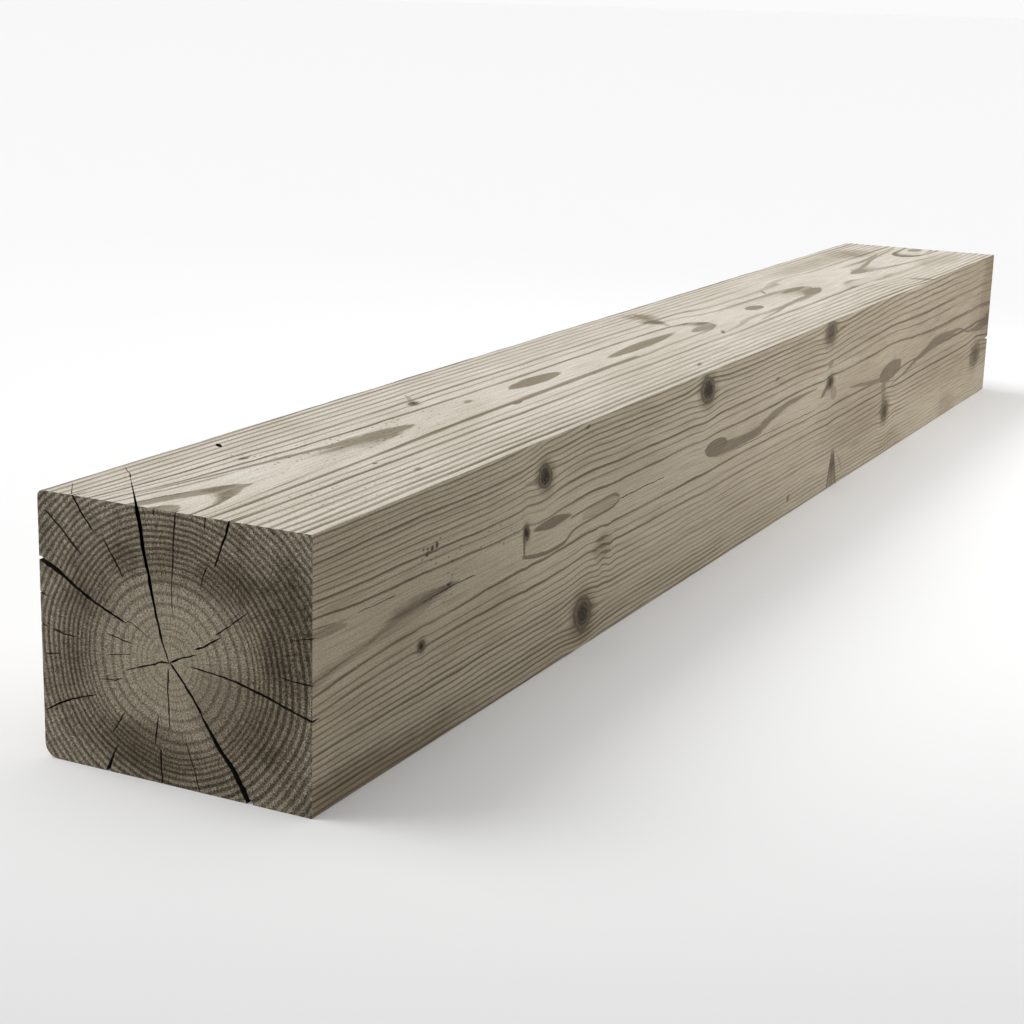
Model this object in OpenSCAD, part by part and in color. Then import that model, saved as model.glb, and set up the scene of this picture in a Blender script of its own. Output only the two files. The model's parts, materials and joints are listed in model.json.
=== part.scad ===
// Squared softwood timber, sawn around the heart of the log and pressure treated.
// It lies on its underside. +X runs along the length from the near end to the far
// end, +Y from the front side to the back side, +Z up. The origin is the centre of
// the underside. Millimetres.

/* [Stock] */
// Width of the section, from the front side to the back side
section_w = 160; // [120:1:240]
// Height of the section as it lies
section_h = 140; // [110:1:220]
// Length of the timber
stock_l = 1300; // [900:10:3000]

/* [Arrises] */
// Radius of the two front arrises, left sharp by the saw
front_arris_r = 1.2; // [0.6:0.1:4]
// Radius of the upper back arris
back_top_arris_r = 3.5; // [1:0.5:8]
// Radius of the lower back arris, where the rounded edge of the log shows
wane_r = 8; // [3:0.5:14]

/* [Heart] */
// Distance of the pith from the back side
pith_from_back = 79; // [60:1:100]
// Height of the pith above the underside
pith_h = 64; // [50:1:80]
// Sound wood left around the pith where a long check stops
heart_r = 5; // [2:0.5:12]

/* [Top check, near end] */
// Distance of its mouth from the back side
top_check_at = 61; // [40:1:100]
// Width of its mouth
top_check_w = 2.4; // [0.6:0.1:5]
// How far it runs along the timber on the top face
top_check_run = 58; // [20:1:120]
// How far it drifts towards the back as it runs
top_check_drift = 50; // [0:1:55]

/* [Back check, near end] */
// Depth of its mouth below the top face
back_check_at = 34; // [20:1:60]
// Width of its mouth
back_check_w = 2.6; // [0.6:0.1:5]
// How far it runs along the timber on the back side
back_check_run = 70; // [20:1:160]
// Distance from the pith at which it stops
back_check_stop = 30; // [10:1:40]

/* [Bottom check, near end] */
// Distance of its mouth from the front side
bottom_check_at = 36; // [20:1:60]
// Width of its mouth
bottom_check_w = 3.4; // [0.6:0.1:6]
// How far it runs along the timber on the underside
bottom_check_run = 90; // [20:1:160]

/* [Front check, near end] */
// Height of its mouth above the underside
front_check_at = 49; // [30:1:80]
// Width of its mouth
front_check_w = 1; // [0.4:0.1:4]
// How far it runs along the timber on the front side
front_check_run = 40; // [10:1:120]
// Distance from the pith at which it stops
front_check_stop = 12; // [4:1:40]

/* [Checks, far end] */
// Height of the front check above the underside
far_front_check_at = 55; // [30:1:80]
// Width of the front check's mouth, broken wider at the arris
far_front_check_w = 4; // [1:0.1:6]
// How far the front check runs along the timber
far_front_check_run = 16; // [8:1:80]
// Distance from the pith at which the front check stops
far_front_check_stop = 50; // [10:1:60]
// Distance of the top check's mouth from the back side
far_top_check_at = 96; // [60:1:110]
// Width of the top check's mouth
far_top_check_w = 2; // [0.6:0.1:5]
// How far the top check runs along the timber
far_top_check_run = 45; // [20:1:120]
// Depth of the back check's mouth below the top face
far_back_check_at = 82; // [40:1:95]
// Width of the back check's mouth
far_back_check_w = 1.8; // [0.6:0.1:5]
// How far the back check runs along the timber
far_back_check_run = 50; // [20:1:160]

/* [Pit in the top face] */
// Distance of the pit from the near end
pit_from_end = 130; // [100:1:300]
// Distance of the pit from the back side
pit_from_back = 17; // [10:1:60]
// Width of the pit at the surface
pit_w = 5; // [2:0.5:8]
// Depth of the pit
pit_depth = 7; // [3:0.5:12]

/* [Hidden] */
$fn = 48;
wood_colour = [0.67, 0.62, 0.52];
near_x = -stock_l / 2;
far_x = stock_l / 2;
front_y = -section_w / 2;
back_y = section_w / 2;
pith = [back_y - pith_from_back, pith_h];
// How far each cutting shape stands clear of the faces that it opens
clear = 1;

function toward(a, b) = (b - a) / norm(b - a);

// Waste that leaves an arris of radius r on a corner at the origin
module arris_waste(r) {
    difference() {
        translate([-clear, -clear]) square(r + clear);
        translate([r, r]) circle(r);
    }
}

// Sawn section, seen along the length: Y across, Z up
module section() {
    difference() {
        translate([front_y, 0]) square([section_w, section_h]);
        translate([front_y, 0]) arris_waste(front_arris_r);
        translate([front_y, section_h]) mirror([0, 1]) arris_waste(front_arris_r);
        translate([back_y, 0]) mirror([1, 0]) arris_waste(wane_r);
        translate([back_y, section_h]) rotate(180) arris_waste(back_top_arris_r);
    }
}

// Drying check as a wedge. On the end it opens from a closed tip stop away from the
// pith to its mouth at an arris; along the face it closes again at run. The place of
// the mouth on the outline and the drift along the face are [across, up].
module check_wedge(end_x, inward, mouth, mouth_w, stop, run, drift = [0, 0]) {
    out = toward(pith, mouth);
    side = [-out[1], out[0]] * mouth_w / 2;
    tip = pith + out * stop;
    lip = mouth + out * clear;
    tail = lip + drift;
    points = [
        [-clear, tip[0], tip[1]],
        [-clear, lip[0] + side[0], lip[1] + side[1]],
        [-clear, lip[0] - side[0], lip[1] - side[1]],
        [run, tail[0], tail[1]]
    ];
    translate([end_x, 0, 0])
        mirror([inward > 0 ? 0 : 1, 0, 0])
            polyhedron(points, [[0, 2, 1], [2, 0, 3], [1, 2, 3], [0, 1, 3]]);
}

module near_end_checks() {
    check_wedge(near_x, 1, [back_y - top_check_at, section_h], top_check_w, heart_r,
                top_check_run, [top_check_drift, 0]);
    check_wedge(near_x, 1, [back_y, section_h - back_check_at], back_check_w, back_check_stop,
                back_check_run);
    check_wedge(near_x, 1, [front_y + bottom_check_at, 0], bottom_check_w, heart_r,
                bottom_check_run);
    check_wedge(near_x, 1, [front_y, front_check_at], front_check_w, front_check_stop,
                front_check_run);
}

module far_end_checks() {
    check_wedge(far_x, -1, [front_y, far_front_check_at], far_front_check_w,
                far_front_check_stop, far_front_check_run);
    check_wedge(far_x, -1, [back_y - far_top_check_at, section_h], far_top_check_w, heart_r,
                far_top_check_run);
    check_wedge(far_x, -1, [back_y, section_h - far_back_check_at], far_back_check_w, heart_r,
                far_back_check_run);
}

// Small tapered pit where a pin knot has dropped out of the top face
module pit() {
    rim_r = pit_w / 2;
    translate([near_x + pit_from_end, back_y - pit_from_back, section_h - pit_depth])
        cylinder(h = pit_depth + clear, r1 = rim_r / 4, r2 = rim_r * (1 + clear / pit_depth));
}

module timber() {
    color(wood_colour)
        difference() {
            rotate([90, 0, 90]) linear_extrude(stock_l, center = true) section();
            near_end_checks();
            far_end_checks();
            pit();
        }
}

timber();
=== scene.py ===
import json
import math
import random

import bmesh
import bpy
import numpy as np
from mathutils import Matrix, Vector

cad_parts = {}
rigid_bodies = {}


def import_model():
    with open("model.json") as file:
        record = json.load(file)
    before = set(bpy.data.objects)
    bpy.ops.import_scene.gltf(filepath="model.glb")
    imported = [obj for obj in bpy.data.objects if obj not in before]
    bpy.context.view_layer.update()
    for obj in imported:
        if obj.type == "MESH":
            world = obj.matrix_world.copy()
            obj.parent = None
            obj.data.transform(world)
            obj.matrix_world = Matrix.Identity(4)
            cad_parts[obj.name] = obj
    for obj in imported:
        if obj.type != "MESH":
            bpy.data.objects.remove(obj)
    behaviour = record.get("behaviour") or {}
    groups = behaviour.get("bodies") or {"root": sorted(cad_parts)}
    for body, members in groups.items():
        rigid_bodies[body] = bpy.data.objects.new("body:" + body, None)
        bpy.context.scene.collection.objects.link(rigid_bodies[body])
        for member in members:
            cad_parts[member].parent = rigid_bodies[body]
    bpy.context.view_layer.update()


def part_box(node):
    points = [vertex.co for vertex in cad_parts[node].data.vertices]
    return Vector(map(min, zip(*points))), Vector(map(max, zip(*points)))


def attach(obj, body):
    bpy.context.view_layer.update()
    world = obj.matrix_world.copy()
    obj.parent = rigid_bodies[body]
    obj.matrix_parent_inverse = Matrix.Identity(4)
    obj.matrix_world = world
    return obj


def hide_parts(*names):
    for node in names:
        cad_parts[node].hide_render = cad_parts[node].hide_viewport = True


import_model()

# Timber
# One squared length of softwood, sawn from the middle of a log so that the pith runs down
# inside it, then pressure treated and left to dry, which split its ends.

MM = 0.001
low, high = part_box("timber")
length = (high.x - low.x) / MM
width = (high.y - low.y) / MM
height = (high.z - low.z) / MM
back_y = high.y / MM
near_x = low.x / MM

# Grain of the sides
# Each side is a lengthwise cut through the rings: lines along its edges, and down its middle the
# arrowheads and islands where the saw ran along one ring. Places are (millimetres from the near
# end, millimetres across): height on the front and back, distance from the middle on the others.
# facing: the way the side looks. middle and bend: where the lines turn back, and how softly.
# ring and age: breadth of a ring towards the edges, and the number of the ring in the middle.
# line and least_late: breadth of a dark line at the edges, and its least share in the middle.
# rise: ring age along the middle against the edges, as (from the near end, rings).
# swing and reach: where the middle of the arrowheads lies and how far it spreads, in the same way.
# crowd: by what share the lines above the middle lie closer together, in the same way.
# drift: how far all the lines sink towards the lower edge or the front, in the same way.
# knots: (from the near end, across, half length, half height, lean, darkness).
# islands: late wood that the saw skimmed, as knots, with how pointed (1) or round (2) its ends are.
# strokes: single dark lines as ((from the near end, across, breadth) points, darkness).
# ripples: patches of crumpled fibres. Then worn patches, where the lines have faded; dark patches, from
# stains and, on the front, also from painted shade; and specked patches, that are dirty.

SIDES = {
    "front": {
        "facing": (0, -1, 0), "middle": 82, "bend": 40, "ring": 2.85, "age": 17.29,
        "reach": [(0, 38), (143, 34), (1300, 40)],
        "line": 1.45, "least_late": 0.17,
        "crowd": [(0, 0.15), (150, 0.15), (330, 0), (650, 0), (1000, -0.2), (1300, -0.24)],
        "rise": [
            (0, -1.25), (47, -0.72), (93, -0.4), (143, -0.29), (210, -0.05), (930, 0), (1010, 0.25),
            (1100, 0.38), (1300, 0.42),
        ],
        "swing": [
            (0, 76), (47, 78), (93, 81), (140, 82), (480, 84), (620, 83), (936, 78), (1125, 78),
            (1300, 74),
        ],
        "knots": [
            (246, 118, 9.5, 7.4, -0.4, 1), (223.5, 90, 3.4, 5, 0.3, 1),
            (304, 21, 13.8, 11.4, -0.34, 0.92), (104, 57, 4, 3.3, 0, 1),
            (498, 127.5, 13.5, 9.4, -0.25, 1), (765, 131.5, 14, 9.6, 0, 0.75),
            (771, 90, 8, 5.2, 0, 0.95), (790, 19, 3.6, 8, -0.05, 0.6),
            (934, 39, 11, 9.5, -0.2, 0.8), (1254, 43, 19, 12, 0.1, 0.65),
            (682, 13, 3, 2, 0.3, 0.6), (109, 105.2, 2, 0.9, 0.4, 0.9),
            (114, 106.8, 1.7, 1.3, 0, 1), (119, 107.3, 1.5, 1.7, 0, 0.9),
            (133, 82.6, 2.8, 1, 0.3, 0.8), (302, 136.5, 2.4, 0.8, 0.2, 0.8),
            (640, 113, 3.4, 1, 0.2, 0.6),
        ],
        "islands": [
            (257, 88.5, 25, 3.6, -0.02, 0.85, 1), (519, 84, 22, 6.2, -0.03, 0.85, 2),
            (944, 73.5, 34, 8.6, 0.06, 0.75, 1.7), (926, 58, 7, 11, 0.3, 0.5, 1.5),
            (783, 14, 2.4, 19, -0.3, 0.85, 2), (797, 13, 2.6, 19, 0.32, 0.8, 2),
            (790, 6, 8, 14, 0, 0.4, 2), (809, 18, 2, 12, 0.8, 0.35, 2),
            (221, 83, 1.6, 7, 0, 0.85, 2), (324, 83, 27, 3.8, 0.02, 0.32, 2),
            (769, 105.5, 7, 3, 0.1, 0.55, 2), (759, 85.5, 12, 2.8, 0.4, 0.8, 1.5),
            (781, 80, 8, 6, -0.3, 0.35, 2), (328, 62.5, 10, 1.5, 0, 0.8, 1),
            (331, 57.5, 10, 1.4, -0.05, 0.75, 1), (336, 52.5, 9, 1.3, -0.1, 0.7, 1),
        ],
        "strokes": [
            ([(220, 76.5, 2.2), (230, 74.4, 2.4), (244, 72.8, 2.6), (262, 71.8, 2.6), (280, 75, 2),
              (296, 78, 1.8), (320, 78.6, 1.9), (342, 79.2, 2), (352, 82.5, 2.4)], 0.85),
            ([(283, 85.5, 1), (300, 86.3, 1.5), (330, 87, 1.7), (344, 86.8, 2),
              (352, 83.5, 2.4)], 0.8),
            ([(512, 81, 5), (535, 80, 8.5), (580, 79.5, 8), (615, 83, 7.5), (650, 88, 5.5),
              (690, 90, 3.4), (735, 90.4, 1)], 0.75),
            ([(826, 77, 1), (850, 75, 3), (872, 72.8, 3.4), (900, 70.6, 4.2), (922, 69, 5)], 0.6),
            ([(950, 60, 1.2), (985, 64, 2.4), (1020, 70, 4), (1060, 75, 7), (1095, 78.5, 9.5),
              (1130, 79.5, 7.5), (1165, 79.5, 3.5), (1195, 76, 2.2), (1225, 71.5, 2.6), (1250, 71, 7),
              (1275, 73, 12), (1300, 76, 16)], 0.75),
            ([(0, 67, 8), (25, 71, 6.5), (60, 73.5, 5), (95, 75.5, 4.2), (120, 79.5, 3),
              (143, 82.4, 1.2)], 0.3),
            ([(0, 91, 4.5), (18, 90, 4), (30, 89, 1.5)], 0.5),
        ],
        "ripples": [(333, 49, 15, 17)],
        "worn": [
            (1240, 120, 110, 26, 0.45), (1150, 16, 190, 30, 0.75), (760, 20, 200, 22, 0.4),
            (590, 36, 230, 28, 0.35), (745, 84, 22, 7, 0.9), (75, 89, 62, 6, 0.95),
        ],
        # The patch 1300 from the near end is painted shade along the far edge; the first one darkens
        # the lower edge near the near end.
        "stains_and_shade": [
            (20, 0, 150, 19, 0.75), (1280, 88, 80, 44, 0.6), (1170, 84, 250, 60, 0.42),
            (1300, 100, 55, 70, 0.85), (850, 62, 110, 40, 0.35), (1138, 30, 22, 22, 0.25),
            (1150, 8, 34, 16, 0.3), (0, 84, 210, 84, 0.28), (330, 57, 14, 10, 0.45),
            (1240, 124, 130, 30, 0.5), (920, 116, 230, 24, 0.25), (790, 14, 7, 17, 0.5),
        ],
        "specked": [
            (115, 106.5, 16, 6), (131, 82, 22, 7), (302, 136, 14, 5), (640, 113, 22, 7),
            (160, 95, 60, 12, 0.6),
        ],
    },
    "back": {
        "facing": (0, 1, 0), "middle": 66, "bend": 46, "ring": 3.1, "age": 17.35,
        "reach": [(0, 20), (1300, 20)],
        "line": 1.5, "least_late": 0.2,
        "rise": [
            (0, 0.2), (120, 0.66), (190, 0.9), (330, 0.35), (560, 0.1), (700, 0.62), (820, 0.75),
            (980, 0.3), (1150, -0.35), (1300, -1.2),
        ],
        "swing": [(0, 64), (400, 70), (900, 63), (1300, 68)],
        "knots": [
            (410, 38, 12, 10, 0.1, 1), (930, 104, 9, 8, -0.2, 0.9),
            (655, 92, 4, 3.5, 0, 0.8), (1120, 30, 13, 11, 0.15, 0.9),
            (170, 112, 7.5, 6.5, 0.2, 0.9),
        ],
        "islands": [
            (480, 68, 60, 5, 0.02, 0.75, 1), (1060, 66, 42, 5.5, -0.02, 0.75, 1),
        ],
        "strokes": [
            ([(705, 66, 1), (730, 71, 1.8), (790, 72, 1.6), (812, 67, 1)], 0.8),
            ([(705, 66, 1), (735, 61, 1.5), (812, 66, 1)], 0.8),
        ],
        "ripples": [],
        "worn": [(240, 20, 120, 22, 0.7)],
        "stains_and_shade": [(900, 4, 260, 16, 0.6), (60, 70, 60, 50, 0.25)],
        "specked": [(560, 108, 14, 5), (300, 88, 10, 4)],
    },
    "top": {
        "facing": (0, 0, 1), "middle": 1.3, "bend": 45, "ring": 5, "age": 17.17,
        "reach": [
            (0, 36), (120, 33), (232, 24), (660, 24), (800, 33), (860, 33), (980, 28), (1300, 28),
        ],
        "line": 2.75, "least_late": 0.4,
        "rise": [
            (0, -2.5), (15, -2.17), (66, -1.17), (120, -0.75), (180, -0.38), (232, -0.17), (290, -0.02),
            (470, 0.05), (640, 0.15), (680, 0.43), (702, 0.83), (730, 1.15), (800, 1.3), (870, 1.36),
            (900, 1.43), (930, 1.6), (952, 1.83), (975, 2), (1010, 2.1), (1046, 2), (1070, 1.83),
            (1088, 1.6), (1112, 1.43), (1160, 1.2), (1200, 1), (1218, 0.83), (1232, 0.5),
            (1260, 0.25), (1300, 0.15),
        ],
        "swing": [
            (0, 18), (30, 14), (66, 10), (110, 8), (170, 5), (232, 3), (400, 3), (600, 2), (690, 1),
            (800, 8), (860, 8), (980, 0), (1056, -2), (1216, 1), (1300, 0),
        ],
        "drift": [(0, 0), (960, 0), (1020, 2), (1080, 6), (1300, 6)],
        "knots": [
            (291, 32.5, 6, 3, 0.3, 0.75), (1066, -70, 6, 12, 0.3, 0.35),
            (672, 33, 5, 6, 0.3, 0.3), (112, 34.5, 3.4, 1.6, 0, 0.6),
            (316, 8, 5, 2.2, 0.2, 0.45), (140, -30, 2.4, 1, 0, 0.7),
            (142, -55, 4, 1.4, 0.2, 0.5), (522, -63, 6, 1.4, 0.3, 0.5),
            (664, -26, 6, 1.4, 0.4, 0.6),
        ],
        "islands": [
            (402, 4.5, 37, 7.6, 0, 0.85, 1.6), (572, 1, 66, 6.6, 0.03, 0.8, 1.2),
            (796, -3, 15, 6.6, 0, 0.8, 2), (1284, -1, 13, 7, 0, 0.7, 2),
            (331, -19, 9, 2.4, 0.2, 0.9, 1), (684, 42, 32, 5, 0.88, 0.4, 2),
            (887, 22, 8, 1.6, 0.6, 0.8, 2), (1208, 44, 24, 8, 0.7, 0.25, 2),
            (300, 40, 15, 1.6, 0.7, 0.5, 2), (918, 5.5, 30, 5.2, 0, 0.8, 1.2),
            (922, -11, 27, 7.5, 0.12, 0.8, 1.4), (672, -7.5, 25, 6.5, 0, 0.7, 1),
            (1079, -5, 24, 7, 0, 0.75, 1),
        ],
        "strokes": [
            ([(0, 22, 7), (25, 14, 8), (45, 6, 9), (58, 1, 7), (67, -1, 2)], 0.75),
            ([(18, 34, 1.2), (60, 27, 2.5), (100, 21, 3.4), (140, 15, 4.4), (172, 9.5, 8),
              (200, 5.5, 13), (222, 3.5, 10), (237, 2, 3)], 0.8),
            ([(0, -22.5, 1.6), (130, -21.3, 3), (270, -17.8, 4), (420, -15.8, 5), (500, -15.3, 5),
              (527, -14.5, 1.5)], 0.8),
            ([(745, -29, 1.2), (782, -26.5, 2.4), (816, -22, 4), (847, -18.5, 4.5), (881, -17.5, 6),
              (905, -15.5, 7)], 0.7),
            ([(1078, -2, 5), (1102, 0.7, 6), (1141, 7, 5), (1183, 13.8, 4), (1219, 16.8, 3),
              (1282, 21, 2)], 0.7),
        ],
        "ripples": [],
        "worn": [
            (640, -46, 340, 42, 0.3), (660, 50, 340, 36, 0.3), (1105, 10, 40, 6, 0.8),
            (1050, 52, 230, 24, 0.75), (1150, -50, 150, 22, 0.6), (122, -6, 70, 9, 0.9),
            (125, 15, 75, 7, 0.9), (850, 34, 110, 9, 0.75), (1034, -28, 66, 9, 0.9),
        ],
        "stains_and_shade": [
            (1100, 50, 120, 14, 0.35), (1205, 46, 44, 22, 0.6), (1220, -45, 60, 16, 0.4),
            (674, 37, 12, 9, 0.9), (692, 54, 16, 14, 0.7),
        ],
        "specked": [(200, 10, 130, 24, 0.8), (110, 36, 24, 12, 0.8), (60, -50, 60, 26, 0.6)],
    },
    "underside": {
        "facing": (0, 0, -1), "middle": -4, "bend": 50, "ring": 4.6, "age": 17.4,
        "reach": [(0, 24), (1300, 24)],
        "line": 2, "least_late": 0.28,
        "rise": [
            (0, -1.4), (90, -0.4), (260, 0.35), (420, 0.62), (610, 0.8), (760, 0.3), (930, -0.3),
            (1120, -0.5), (1300, 0.3),
        ],
        "swing": [(0, -6), (500, 2), (900, -8), (1300, -3)],
        "knots": [
            (330, -34, 11, 9, 0, 0.9), (860, 28, 10, 12, 0.2, 0.9),
            (1130, -48, 8, 7, 0.1, 0.8),
        ],
        "islands": [
            (1010, -6, 55, 7, 0, 0.75, 1), (180, -4, 40, 6, 0.02, 0.75, 1),
        ],
        "strokes": [],
        "ripples": [],
        "worn": [(560, 44, 160, 24, 0.7)],
        "stains_and_shade": [(150, 30, 220, 40, 0.6), (820, -40, 260, 34, 0.5), (1250, 20, 90, 50, 0.5)],
        "specked": [(420, 20, 160, 40), (980, -20, 180, 44)],
    },
}
UPRIGHT_SIDES = ("front", "back")
# Knots, in their half sizes: how far the fibres bend round one, how uneven its outline is, a
# distance that stands for none, and where the knot and the halo round it end
KNOT_FLOW, KNOT_UNEVEN, NO_KNOT = 1.4, 0.45, 9.0
KNOT_EDGE, HALO_EDGE = (0.88, 1.14), (0.9, 1.9)
# Late wood: distance from the middle within which its least share there holds, the least share
# anywhere, how much years differ in breadth and depth, and where a line starts and stops
LEAST_LATE_REACH, LEAST_SHARE = 16.0, 0.1
YEAR_BREADTHS, YEAR_DEPTHS = (0.75, 1.15), (0.7, 1.0)
LATE_STARTS, LATE_STOPS = (-0.4, 0.3), (0.88, 1.0)
# Crumpled fibres: length of a wave, its slant, and its height in rings
RIPPLE_LENGTH, RIPPLE_SLANT, RIPPLE_RINGS = 24.0, 0.06, 0.32
# Waves per millimetre along and across the grain, for each kind of unevenness
WAVER_RATE, STRAND_RATE, GRIT_RATE = (0.008, 0.03, 0), (0.03, 0.6, 0), (0.55, 1.3, 0)
FAINT_RATE, STREAK_RATE, WEATHER_RATE = (0.007, 0.16, 0), (0.018, 0.96, 0), (0.006, 0.014, 0)
SPECK_RATE, SAW_RATE, EDGE_RATE = (0.22, 0.5, 0), (0.05, 1.1, 0), 0.12
# How far it moves the lines: the waver in millimetres, the others in rings
WAVER_SHIFT, RAGGED_SHIFT, GRIT_SHIFT = 5.0, 0.16, 0.13
# How frayed islands and strokes are, and where they and the patches fade, from core to edge
ISLAND_FRAY, STROKE_FRAY = 0.6, 0.7
ISLAND_EDGE, STROKE_EDGE, PATCH_EDGE = (0.85, 1.1), (0.32, 0.65), (0.2, 1.6)
# Millimetres beyond and within the ends of a stroke between which it fades
BEYOND_END, WITHIN_END = 3, 1
# Shine of the wood, and strength and depth in metres of the saw's fine lines
WOOD_SHEEN, SAW_STRENGTH, SAW_DEPTH = 0.25, 0.35, 0.0004
EARLY_ROUGHNESS, LATE_ROUGHNESS = 0.8, 0.66
# Smooth steps as (from, to, value before, value after), of a noise or of the distance to a knot
FAINT_STEP, STREAK_STEP = (0.32, 0.56, 0.6, 1.0), (0.35, 0.75, 0.0, 0.7)
WEATHER_STEP, GRIT_STEP = (0.4, 0.75, 0.0, 0.35), (-0.2, 0.2, 0.0, 0.75)
CORE_STEP, SPECK_STEP, SPECK_CHANCE = (0.25, 0.9, 1.0, 0.35), (0.2, 0.36, 1.0, 0.0), (0.66, 0.86)
# Inside a knot: waves per millimetre of its unevenness, turn of its rings, how far they waver, and
# the shares of rings, grit and rim in its dark core; then the rim's breadth and the halo's share
BRANCH_RATE, BRANCH_TURN, BRANCH_WAVER = 0.4, 24.0, 3.0
RINGS_IN_CORE, GRIT_IN_CORE, RIM_IN_CORE = 0.14, 0.9, 0.3
DARK_RIM_BREADTH, HALO_SHARE = 0.12, 0.6


def add(tree, kind, *inputs, out=0, **settings):
    """Adds a node and feeds its input sockets in order with links or values; None leaves one alone."""
    made = tree.nodes.new(kind)
    for name, value in settings.items():
        setattr(made, name, value)
    for socket, value in zip(made.inputs, inputs):
        if isinstance(value, bpy.types.NodeSocket):
            tree.links.new(value, socket)
        elif value is not None:
            socket.default_value = value
    return made.outputs[out]


def calc(tree, operation, *inputs):
    return add(tree, "ShaderNodeMath", *inputs, operation=operation)


def times(tree, a, b):
    return calc(tree, "MULTIPLY", a, b)


def times_plus(tree, a, b, c):
    return calc(tree, "MULTIPLY_ADD", a, b, c)


def less(tree, a, b):
    return calc(tree, "SUBTRACT", a, b)


def vector(tree, operation, *inputs):
    gives_number = operation in ("DOT_PRODUCT", "LENGTH", "DISTANCE")
    return add(tree, "ShaderNodeVectorMath", *inputs, operation=operation, out=1 if gives_number else 0)


def joined(tree, x, y, z):
    return add(tree, "ShaderNodeCombineXYZ", x, y, z)


def split(tree, arrow):
    made = tree.nodes.new("ShaderNodeSeparateXYZ")
    tree.links.new(arrow, made.inputs[0])
    return made.outputs


def ramp(tree, value, start, end, low_value=0.0, high_value=1.0):
    """Smooth step from low_value at start to high_value at end."""
    return add(tree, "ShaderNodeMapRange", value, start, end, low_value, high_value,
               interpolation_type="SMOOTHSTEP")


def bell(tree, value, half_width):
    """1 where value is 0, falling away on both sides."""
    share = calc(tree, "DIVIDE", value, half_width)
    return calc(tree, "EXPONENT", times(tree, times(tree, share, share), -1.0))


def noise(tree, place, rate, detail=2.0, roughness=0.5):
    """Noise from 0 to 1. The rate is its waves per unit of place, as one number or one per axis."""
    if isinstance(rate, tuple):
        place, rate = vector(tree, "MULTIPLY", place, rate), 1.0
    return add(tree, "ShaderNodeTexNoise", place, None, rate, detail, roughness)


def centred_noise(tree, place, rate, detail=2.0, roughness=0.5):
    return less(tree, noise(tree, place, rate, detail, roughness), 0.5)


def curve_through(tree, at, points, span=length):
    """Smooth curve through (place, value) points, with places from 0 to span."""
    margin = 0.01
    lowest = min(value for _, value in points) - margin
    rise = max(value for _, value in points) + margin - lowest
    made = tree.nodes.new("ShaderNodeFloatCurve")
    curve = made.mapping.curves[0]
    for point, (place, value) in zip(curve.points, (points[0], points[-1])):
        point.location = (place / span, (value - lowest) / rise)
    for place, value in points[1:-1]:
        curve.points.new(place / span, (value - lowest) / rise)
    for point in curve.points:
        point.handle_type = "AUTO_CLAMPED"
    made.mapping.update()
    tree.links.new(calc(tree, "DIVIDE", at, span), made.inputs[1])
    return times_plus(tree, made.outputs[0], rise, lowest)


def srgb(r, g, b):
    """Colour picked as 8-bit sRGB, as a linear colour."""
    return [((c / 255 + 0.055) / 1.055) ** 2.4 for c in (r, g, b)] + [1.0]


def mixed(tree, share, a, b, mode="MIX"):
    made = tree.nodes.new("ShaderNodeMix")
    made.data_type = "RGBA"
    made.blend_type = mode
    for socket, value in ((made.inputs[0], share), (made.inputs[6], a), (made.inputs[7], b)):
        if isinstance(value, bpy.types.NodeSocket):
            tree.links.new(value, socket)
        else:
            socket.default_value = value
    return made.outputs[2]


def new_finish(name):
    material = bpy.data.materials.new(name)
    material.use_nodes = True
    shader = material.node_tree.nodes["Principled BSDF"]
    shader.inputs["Specular IOR Level"].default_value = WOOD_SHEEN
    return material, material.node_tree, shader


def timber_place(tree):
    """Place in the timber, in millimetres: from the near end, across and up."""
    surface = tree.nodes.new("ShaderNodeTexCoord").outputs["Object"]
    return vector(tree, "MULTIPLY_ADD", surface, (1 / MM, 1 / MM, 1 / MM), (length / 2, 0, 0))


def to_ellipse(tree, flat, from_end, across, half_length, half_height, lean):
    """Place against a leaning ellipse: shares of its half length and half height."""
    away = vector(tree, "SUBTRACT", flat, (from_end, across, 0))
    run, climb = math.cos(lean), math.sin(lean)
    u = vector(tree, "DOT_PRODUCT", away, (run / half_length, climb / half_length, 0))
    v = vector(tree, "DOT_PRODUCT", away, (-climb / half_height, run / half_height, 0))
    return u, v


def squared_sum(tree, u, v):
    return times_plus(tree, u, u, times(tree, v, v))


# Painted shade: the front and back take a darker, warmer copy of the top's wood, partly their own tone
# and partly the shade of sides turned away from the light overhead.
SHADED_SIDE_EARLY_WOOD, SHADED_SIDE_LATE_WOOD = srgb(209, 198, 178), srgb(121, 108, 86)
TOP_EARLY_WOOD, TOP_LATE_WOOD = srgb(234, 229, 219), srgb(140, 128, 107)
KNOT_WOOD, KNOT_CORE = srgb(128, 116, 94), srgb(43, 36, 23)
# Tints that darken the wood under them
STREAK_TINT, WEATHER_TINT = srgb(192, 184, 168), srgb(214, 207, 193)
# The stain tint also darkens the front's patch of painted shade.
STAIN_AND_SHADE_TINT, GRIT_TINT = srgb(186, 178, 164), srgb(212, 208, 200)
HALO_TINT, SPECK_TINT = srgb(170, 157, 134), srgb(112, 104, 90)


def largest(tree, values):
    """Largest of several values, or 0 if there are none."""
    most = 0.0
    for value in values:
        most = calc(tree, "MAXIMUM", value, most)
    return most


def patch(tree, flat, edge, from_end, across, half_length, half_height, dark=1.0):
    """Soft patch, dark in its middle, whose edge a noise breaks up."""
    u, v = to_ellipse(tree, flat, from_end, across, half_length, half_height, 0.0)
    away = calc(tree, "ADD", edge, squared_sum(tree, u, v))
    return ramp(tree, away, *PATCH_EDGE, dark, 0.0)


def patches(tree, flat, edge, places):
    return largest(tree, [patch(tree, flat, edge, *place) for place in places])


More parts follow.
